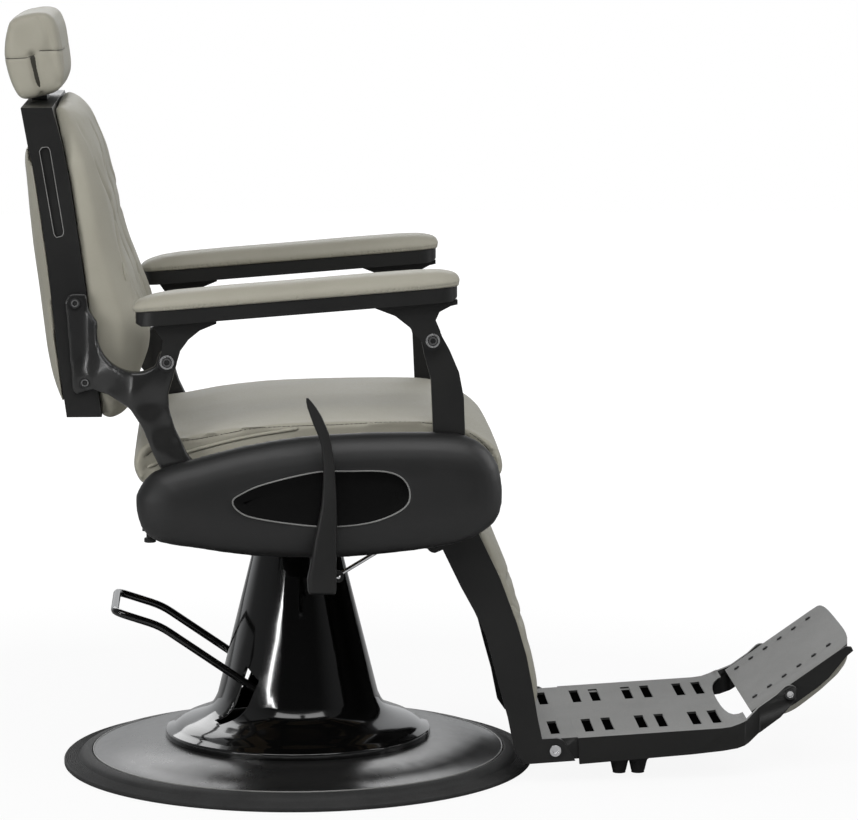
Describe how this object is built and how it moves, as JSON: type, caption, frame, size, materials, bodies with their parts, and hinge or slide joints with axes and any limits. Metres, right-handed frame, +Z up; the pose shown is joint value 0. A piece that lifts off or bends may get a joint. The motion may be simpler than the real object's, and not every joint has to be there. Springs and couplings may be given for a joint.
{
  "type": "hydraulic barber chair",
  "caption": "Reclining barber chair on a round pump base, with a foot pedal, linked arms, quilted back, adjustable headrest, calf pad and folding footrest.",
  "frame": {"origin": "middle of the round base, on the floor, on the swivel axis", "axes": "+X the way the sitter faces, towards the footrest; +Y the sitter's left; +Z up"},
  "size_m": [1.1604, 0.6685, 1.0583],
  "materials": {
    "base_black": "satin black powder coat",
    "gloss_black": "gloss black enamel",
    "rim_rubber": "matt rubber",
    "frame_black": "satin black powder coat",
    "shell_black": "satin black moulding",
    "steel": "bright zinc-plated steel",
    "chrome": "polished chrome",
    "upholstery": "smooth taupe leatherette",
    "tread_grey": "fine-texture grey powder coat",
    "bumper_rubber": "matt rubber",
    "plywood": "bare birch plywood"
  },
  "bodies": {
    "base": {"base_plate": "base_black", "base_rim": "rim_rubber", "column_cover": "gloss_black", "pump_cylinder": "steel", "pump_bolts": "steel"},
    "pedal": {"pedal_shaft": "steel", "pump_pedal": "gloss_black"},
    "plunger": {"pump_plunger": "steel", "plunger_spring": "steel"},
    "lift": {"lift_ram": "steel"},
    "seat": {"swivel_plate": "frame_black", "mount_rails": "frame_black", "front_cross_tube": "frame_black", "rear_cross_tube": "frame_black", "left_side_plate": "frame_black", "right_side_plate": "frame_black", "left_side_shell": "shell_black", "right_side_shell": "shell_black", "left_shell_inset": "gloss_black", "right_shell_inset": "gloss_black", "seat_board": "plywood", "seat_cushion": "upholstery", "rear_stop_bracket": "frame_black", "pivot_pins": "steel", "lever_bracket": "frame_black", "gas_anchor": "frame_black", "gas_spring_rod": "steel"},
    "back": {"back_frame": "frame_black", "back_board": "plywood", "back_cushion": "upholstery", "back_cover": "upholstery", "left_back_casting": "frame_black", "right_back_casting": "frame_black", "back_bolts": "frame_black", "back_crossbar": "steel", "headrest_socket": "frame_black"},
    "headrest_post": {"headrest_stem": "steel"},
    "headrest": {"headrest_cushion": "upholstery"},
    "left_strut": {"left_front_strut": "frame_black"},
    "right_strut": {"right_front_strut": "frame_black"},
    "left_armrest": {"left_arm_rail": "frame_black", "left_arm_pad": "upholstery", "left_arm_bolts": "chrome"},
    "right_armrest": {"right_arm_rail": "frame_black", "right_arm_pad": "upholstery", "right_arm_bolts": "chrome"},
    "leg_rest": {"leg_frame": "frame_black", "calf_pad": "upholstery"},
    "links": {"leg_links": "frame_black"},
    "footrest": {"footplate": "tread_grey", "foot_hinge_bolts": "chrome", "foot_bumpers": "bumper_rubber"},
    "toe_flap": {"toe_plate": "tread_grey", "toe_pad": "upholstery", "toe_bolts": "chrome"},
    "lever": {"recline_lever": "frame_black", "lever_shaft": "steel"},
    "release_link": {"release_rod": "chrome"},
    "release_crank": {"release_arm": "steel"},
    "gas_spring": {"gas_spring_cylinder": "frame_black"}
  },
  "joints": [
    {"name": "pedal_pump", "type": "hinge", "parent": "base", "child": "pedal", "pos_m": [-0.01, 0, 0.081], "axis": [0, -1, 0], "range_deg": [0, 22], "stiffness_Nm_per_rad": 6, "springref_deg": -31.51},
    {"name": "plunger_stroke", "type": "slide", "parent": "base", "child": "plunger", "axis": [0, 0, 1], "range_m": [0, 0.016], "deforming": ["plunger_spring"]},
    {"name": "lift", "type": "slide", "parent": "base", "child": "lift", "axis": [0, 0, 1], "range_m": [0, 0.15]},
    {"name": "swivel", "type": "hinge", "parent": "lift", "child": "seat", "pos_m": [0, 0, 0.336], "axis": [0, 0, 1], "continuous": true},
    {"name": "back_recline", "type": "hinge", "parent": "seat", "child": "back", "pos_m": [-0.15, 0, 0.444], "axis": [0, -1, 0], "range_deg": [0, 40]},
    {"name": "left_strut_swing", "type": "hinge", "parent": "seat", "child": "left_strut", "pos_m": [0.2025, 0, 0.4708], "axis": [0, -1, 0], "range_deg": [0, 40]},
    {"name": "right_strut_swing", "type": "hinge", "parent": "seat", "child": "right_strut", "pos_m": [0.2025, 0, 0.4708], "axis": [0, -1, 0], "range_deg": [0, 40]},
    {"name": "left_arm_level", "type": "hinge", "parent": "left_strut", "child": "left_armrest", "pos_m": [0.1759, 0, 0.6278], "axis": [0, -1, 0], "range_deg": [-40, 0]},
    {"name": "right_arm_level", "type": "hinge", "parent": "right_strut", "child": "right_armrest", "pos_m": [0.1759, 0, 0.6278], "axis": [0, -1, 0], "range_deg": [-40, 0]},
    {"name": "leg_rise", "type": "hinge", "parent": "seat", "child": "leg_rest", "pos_m": [0.205, 0, 0.392], "axis": [0, -1, 0], "range_deg": [0, 40]},
    {"name": "link_swing", "type": "hinge", "parent": "leg_rest", "child": "links", "pos_m": [0.18448, 0, 0.33562], "axis": [0, -1, 0], "range_deg": [-40, 0]},
    {"name": "gas_stroke", "type": "slide", "parent": "seat", "child": "gas_spring", "axis": [1, 0, 0], "range_m": [0, 0.042]},
    {"name": "foot_fold", "type": "hinge", "parent": "leg_rest", "child": "footrest", "pos_m": [0.35, 0, 0.047], "axis": [0, -1, 0], "range_deg": [0, 65]},
    {"name": "toe_flip", "type": "hinge", "parent": "footrest", "child": "toe_flap", "pos_m": [0.6775, 0, 0.1173], "axis": [0, -1, 0], "range_deg": [0, 155]},
    {"name": "lever_pull", "type": "hinge", "parent": "seat", "child": "lever", "pos_m": [0.027, 0, 0.308], "axis": [0, -1, 0], "range_deg": [0, 15], "stiffness_Nm_per_rad": 8, "springref_deg": -14.32},
    {"name": "release_link_swing", "type": "hinge", "parent": "lever", "child": "release_link", "pos_m": [0.051, 0, 0.301], "axis": [0, -1, 0], "range_deg": [-15, 0]},
    {"name": "release_crank_turn", "type": "hinge", "parent": "seat", "child": "release_crank", "pos_m": [0.12, 0, 0.36381], "axis": [0, -1, 0], "range_deg": [0, 15]},
    {"name": "headrest_lift", "type": "slide", "parent": "back", "child": "headrest_post", "axis": [-0.1908, 0, 0.9816], "range_m": [0, 0.08]},
    {"name": "headrest_tilt", "type": "hinge", "parent": "headrest_post", "child": "headrest", "pos_m": [-0.36359, 0, 0.99879], "axis": [0, -1, 0], "range_deg": [-8, 20]}
  ],
  "couplings": [
    {"joint": "plunger_stroke", "follows": "pedal_pump", "m_per_rad": 0.0402},
    {"joint": "left_strut_swing", "follows": "back_recline", "ratio": 1},
    {"joint": "right_strut_swing", "follows": "back_recline", "ratio": 1},
    {"joint": "left_arm_level", "follows": "back_recline", "ratio": -1},
    {"joint": "right_arm_level", "follows": "back_recline", "ratio": -1},
    {"joint": "leg_rise", "follows": "back_recline", "ratio": 1},
    {"joint": "link_swing", "follows": "back_recline", "ratio": -1},
    {"joint": "gas_stroke", "follows": "back_recline", "m_per_rad": 0.058789},
    {"joint": "release_link_swing", "follows": "lever_pull", "ratio": -1},
    {"joint": "release_crank_turn", "follows": "lever_pull", "ratio": 1}
  ]
}
